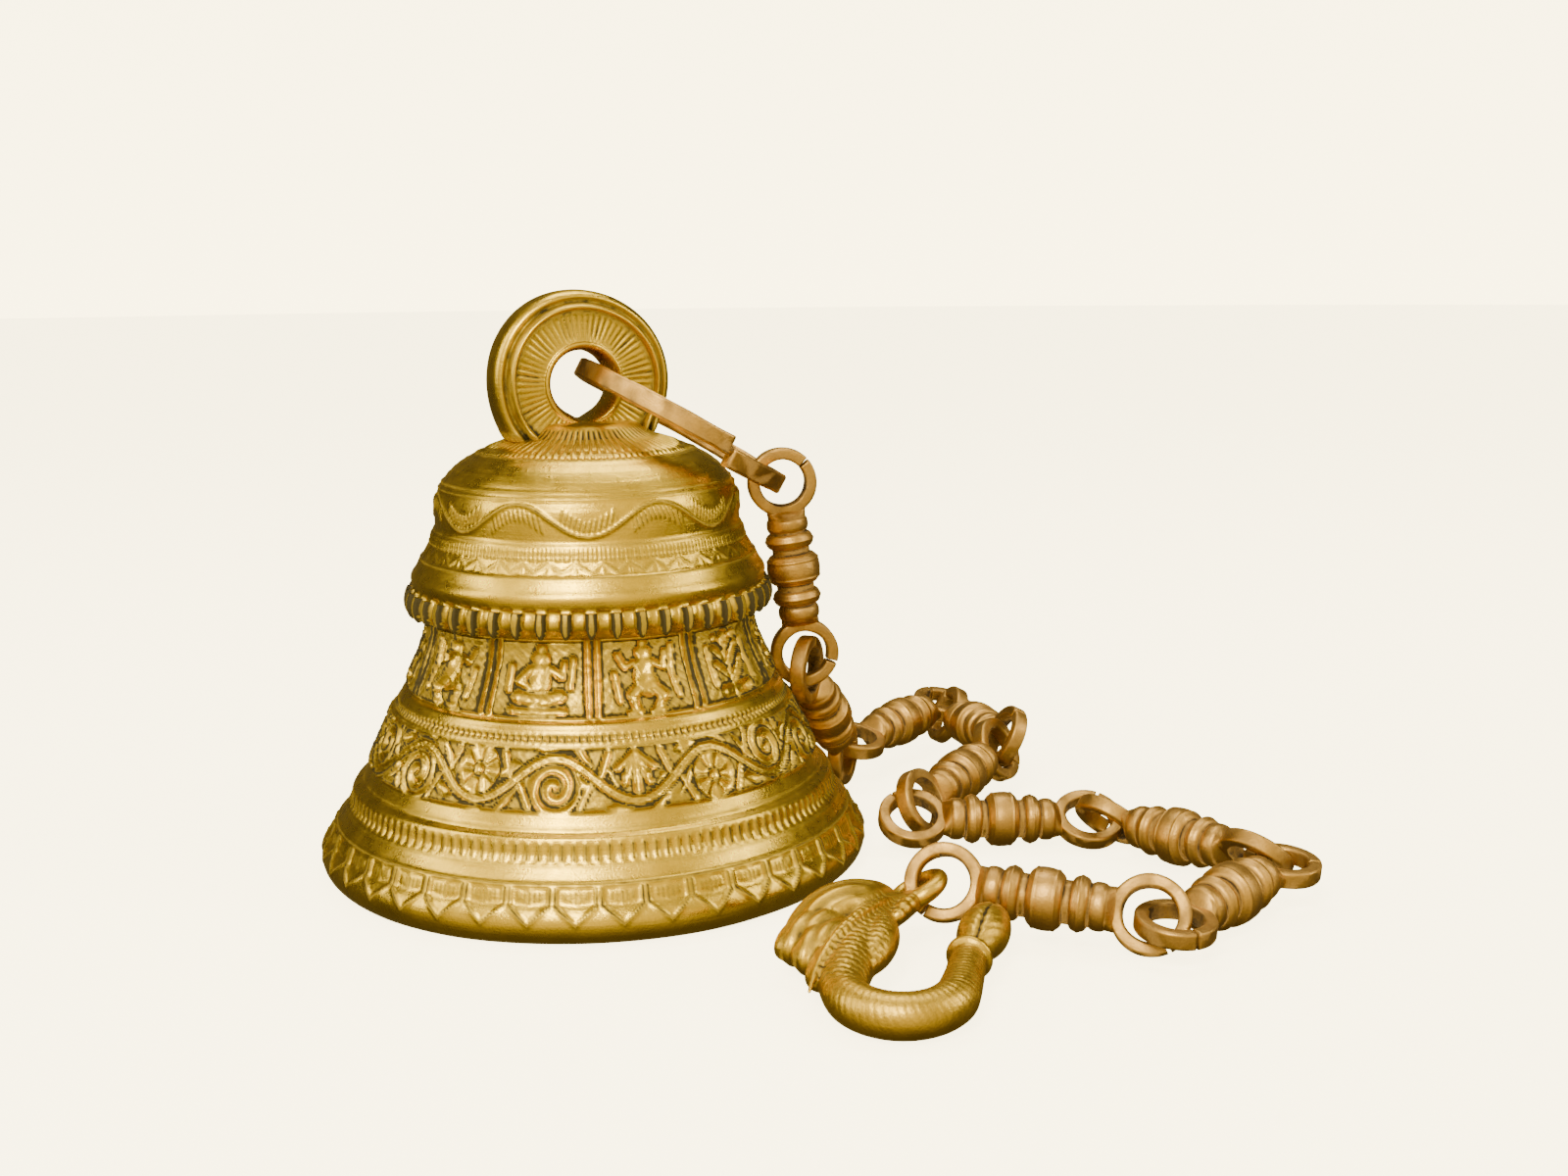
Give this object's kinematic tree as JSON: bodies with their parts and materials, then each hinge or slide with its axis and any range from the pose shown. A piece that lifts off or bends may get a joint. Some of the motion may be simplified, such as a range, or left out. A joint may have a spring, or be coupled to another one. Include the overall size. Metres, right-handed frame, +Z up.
{
  "type": "hanging temple bell with chain and hook",
  "caption": "Cast brass bell with a crown loop and inner clapper, hung from an open ring, a chain of turned baluster links and a crested hook.",
  "frame": {"origin": "centre of the rim's underside, on the bell's axis", "axes": "+Z up along the bell's axis from rim to crown, -Y toward the side where the chain's end and the hook lie, +X toward the chain"},
  "size_m": [0.2234, 0.2063, 0.135],
  "materials": {
    "brass": "polished cast brass with dark patina left in the engraved and recessed ground",
    "old_brass": "dull brass, unpolished and slightly darkened",
    "bronze": "satin copper-coloured brass, darker in the grooves between the beads"
  },
  "bodies": {
    "bell": {"bell_shell": "brass", "crown_loop": "brass", "crown_washer": "old_brass"},
    "clapper_ring": {"clapper_ring": "old_brass"},
    "clapper": {"clapper_rod": "old_brass", "clapper_ball": "brass"},
    "split_ring": {"split_ring": "bronze"},
    "link_1": {"chain_link_1": "bronze"},
    "link_2": {"chain_link_2": "bronze"},
    "link_3": {"chain_link_3": "bronze"},
    "link_4": {"chain_link_4": "bronze"},
    "link_5": {"chain_link_5": "bronze"},
    "link_6": {"chain_link_6": "bronze"},
    "link_7": {"chain_link_7": "bronze"},
    "link_8": {"chain_link_8": "bronze"},
    "link_9": {"chain_link_9": "bronze"},
    "hook": {"hook": "brass"}
  },
  "joints": [
    {"name": "clapper_ring_swing", "type": "hinge", "parent": "bell", "child": "clapper_ring", "pos_m": [0, 0, 0.086], "axis": [0, 1, 0], "range_deg": [-12, 12]},
    {"name": "clapper_swing", "type": "hinge", "parent": "clapper_ring", "child": "clapper", "pos_m": [0, 0, 0.08], "axis": [1, 0, 0], "range_deg": [-27, 27]},
    {"name": "ring_tilt", "type": "hinge", "parent": "bell", "child": "split_ring", "pos_m": [0.00099, 0.00048, 0.11555], "axis": [0.2711, -0.9575, -0.0985], "range_deg": [0, 90]},
    {"name": "link_1_swing", "type": "hinge", "parent": "split_ring", "child": "link_1", "pos_m": [0.04552, 0.011, 0.0892], "axis": [0, -1, 0], "range_deg": [0, 44]},
    {"name": "link_2_swing", "type": "hinge", "parent": "link_1", "child": "link_2", "pos_m": [0.05242, 0.01105, 0.04516], "axis": [0.0175, -0.9998, 0], "range_deg": [0, 45]},
    {"name": "link_3_swing", "type": "hinge", "parent": "link_2", "child": "link_3", "pos_m": [0.06604, 0.03852, 0.01106], "axis": [0.9011, -0.4335, -0.0126], "range_deg": [-35, 45]},
    {"name": "link_4_swing", "type": "hinge", "parent": "link_3", "child": "link_4", "pos_m": [0.10089, 0.07779, 0.01345], "axis": [0.1471, -0.195, 0.9697], "range_deg": [0, 40]},
    {"name": "link_5_swing", "type": "hinge", "parent": "link_4", "child": "link_5", "pos_m": [0.10854, 0.03158, 0.01575], "axis": [0.8798, 0.0897, -0.4669], "range_deg": [-35, 5]},
    {"name": "link_6_swing", "type": "hinge", "parent": "link_5", "child": "link_6", "pos_m": [0.0793, -0.0049, 0.01], "axis": [0.6894, -0.5774, 0.4373], "range_deg": [-40, 40]},
    {"name": "link_7_swing", "type": "hinge", "parent": "link_6", "child": "link_7", "pos_m": [0.11896, -0.01212, 0.00625], "axis": [0.004, -0.5009, 0.8655], "range_deg": [-10, 35]},
    {"name": "link_8_swing", "type": "hinge", "parent": "link_7", "child": "link_8", "pos_m": [0.14608, -0.05141, 0.00923], "axis": [0.58, 0.4061, 0.7061], "range_deg": [-14, 40]},
    {"name": "link_9_swing", "type": "hinge", "parent": "link_8", "child": "link_9", "pos_m": [0.1165, -0.08412, 0.00705], "axis": [-0.0388, 0.1031, -0.9939], "range_deg": [-40, 28]},
    {"name": "hook_swing", "type": "hinge", "parent": "link_9", "child": "hook", "pos_m": [0.07256, -0.06472, 0.01125], "axis": [-0.319, -0.8325, 0.4529], "range_deg": [-35, 2]}
  ]
}
